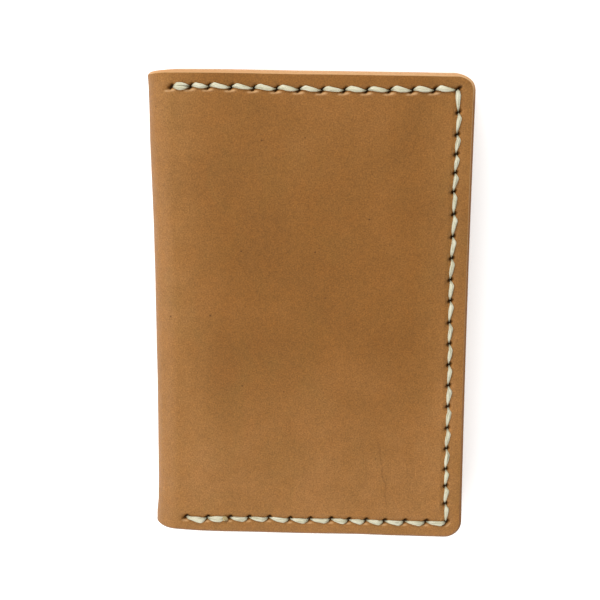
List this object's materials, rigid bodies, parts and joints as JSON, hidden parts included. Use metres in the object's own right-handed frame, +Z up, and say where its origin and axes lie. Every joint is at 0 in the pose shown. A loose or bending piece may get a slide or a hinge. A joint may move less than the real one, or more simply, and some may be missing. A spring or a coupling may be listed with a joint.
{
  "type": "bifold card holder",
  "caption": "Vertical bifold leather card holder with a soft fold, staggered inner card pockets and a hand-sewn saddle stitch along the open edges.",
  "frame": {"origin": "centre of the closed holder's footprint, on the outer face of the back cover", "axes": "+X towards the free edges, away from the fold; +Y towards the holder's top end; +Z up through the closed thickness, from the back cover to the front cover"},
  "size_m": [0.072, 0.107, 0.012],
  "materials": {
    "cover_leather": "smooth natural vegetable-tanned, satin",
    "pocket_leather": "smooth natural vegetable-tanned, satin",
    "thread": "waxed linen thread"
  },
  "bodies": {
    "back": {"back_cover": "cover_leather", "back_pocket_wide": "pocket_leather", "back_pocket_narrow": "pocket_leather", "back_stitching": "thread"},
    "strip_1": {"spine_strip_1": "cover_leather"},
    "strip_2": {"spine_strip_2": "cover_leather"},
    "front": {"front_cover": "cover_leather", "front_pocket_wide": "pocket_leather", "front_pocket_narrow": "pocket_leather", "front_stitching": "thread"}
  },
  "joints": [
    {"name": "fold_1", "type": "hinge", "parent": "back", "child": "strip_1", "pos_m": [-0.033, 0, 0.0008], "axis": [0, -1, 0], "range_deg": [0, 60]},
    {"name": "fold_2", "type": "hinge", "parent": "strip_1", "child": "strip_2", "pos_m": [-0.036, 0, 0.006], "axis": [0, -1, 0], "range_deg": [0, 60]},
    {"name": "fold_3", "type": "hinge", "parent": "strip_2", "child": "front", "pos_m": [-0.033, 0, 0.0112], "axis": [0, -1, 0], "range_deg": [0, 60]}
  ],
  "couplings": [
    {"joint": "fold_2", "follows": "fold_1", "ratio": 1},
    {"joint": "fold_3", "follows": "fold_1", "ratio": 1}
  ]
}
